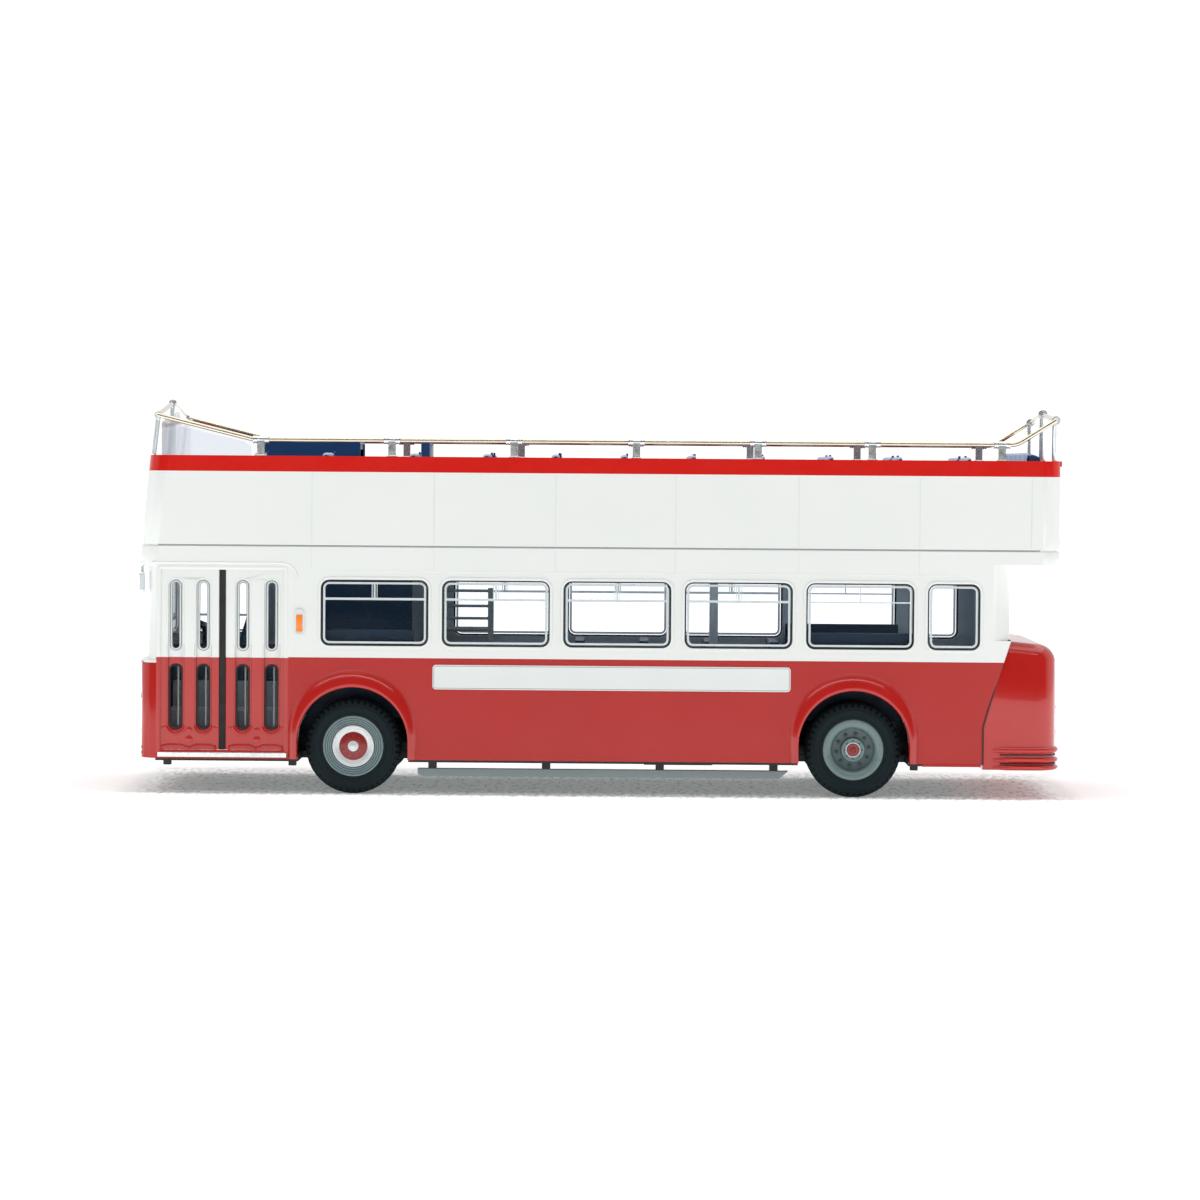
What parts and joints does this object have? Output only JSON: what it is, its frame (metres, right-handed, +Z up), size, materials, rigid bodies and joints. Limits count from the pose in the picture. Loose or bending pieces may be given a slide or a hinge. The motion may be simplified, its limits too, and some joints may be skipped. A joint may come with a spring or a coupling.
{
  "type": "open-top double decker bus scale model",
  "caption": "Die-cast scale model of an open-top double deck bus with a front entrance, rear engine cover, top rails and free-rolling wheels.",
  "frame": {"origin": "on the floor under the middle of the model", "axes": "+X to the rear, -Y to the entrance side, +Z up"},
  "size_m": [0.1204, 0.0332, 0.0514],
  "materials": {
    "white_casting": "white enamel over a die casting, red below the waist",
    "red_casting": "red enamel",
    "black_plastic": "moulded",
    "door_rubber": "black edging",
    "grey_plastic": "moulded",
    "blue_plastic": "moulded",
    "light_blue_plastic": "printed seat tops",
    "black_moulding": "moulded",
    "clear_plastic": "clear moulding",
    "polished_wire": "polished",
    "silver_plastic": "silver painted",
    "lamp_glass": "bright lens",
    "red_lens": "printed lens",
    "amber_lens": "printed lens",
    "tyre_rubber": "black",
    "wheel_grey": "painted",
    "axle_steel": "drawn pin"
  },
  "bodies": {
    "body": {"lower_body": "white_casting", "upper_body": "white_casting", "engine_cover": "red_casting", "entrance_doors": "red_casting", "chassis": "black_plastic", "door_seal": "door_rubber", "guard_rails": "grey_plastic", "entrance_steps": "grey_plastic", "support_post": "grey_plastic", "lower_deck": "blue_plastic", "lower_seats": "blue_plastic", "staircase": "blue_plastic", "stair_guard": "blue_plastic", "driver_seat": "blue_plastic", "dashboard": "blue_plastic", "upper_deck": "blue_plastic", "upper_seats": "blue_plastic", "rear_bench": "blue_plastic", "stair_hood": "blue_plastic", "seat_pads": "light_blue_plastic", "steering_wheel": "black_moulding", "destination_display": "black_moulding", "nearside_glazing": "clear_plastic", "offside_glazing": "clear_plastic", "windscreen": "clear_plastic", "rear_window": "clear_plastic", "door_glazing": "clear_plastic", "front_screen": "clear_plastic", "side_rails": "polished_wire", "end_rails": "polished_wire", "rail_stanchions": "silver_plastic", "end_stanchions": "silver_plastic", "step_strip": "silver_plastic", "mirrors": "silver_plastic", "headlights": "lamp_glass", "tail_lights": "red_lens", "side_indicators": "amber_lens"},
    "front_wheelset": {"front_axle": "axle_steel", "nearside_front_tyre": "tyre_rubber", "offside_front_tyre": "tyre_rubber", "nearside_front_hub": "wheel_grey", "offside_front_hub": "wheel_grey"},
    "rear_wheelset": {"rear_axle": "axle_steel", "nearside_rear_tyre": "tyre_rubber", "offside_rear_tyre": "tyre_rubber", "nearside_rear_hub": "wheel_grey", "offside_rear_hub": "wheel_grey"}
  },
  "joints": [
    {"name": "front_axle_spin", "type": "hinge", "parent": "body", "child": "front_wheelset", "pos_m": [-0.032, 0, 0.00625], "axis": [0, 1, 0], "continuous": true},
    {"name": "rear_axle_spin", "type": "hinge", "parent": "body", "child": "rear_wheelset", "pos_m": [0.0333, 0, 0.00625], "axis": [0, 1, 0], "continuous": true}
  ]
}
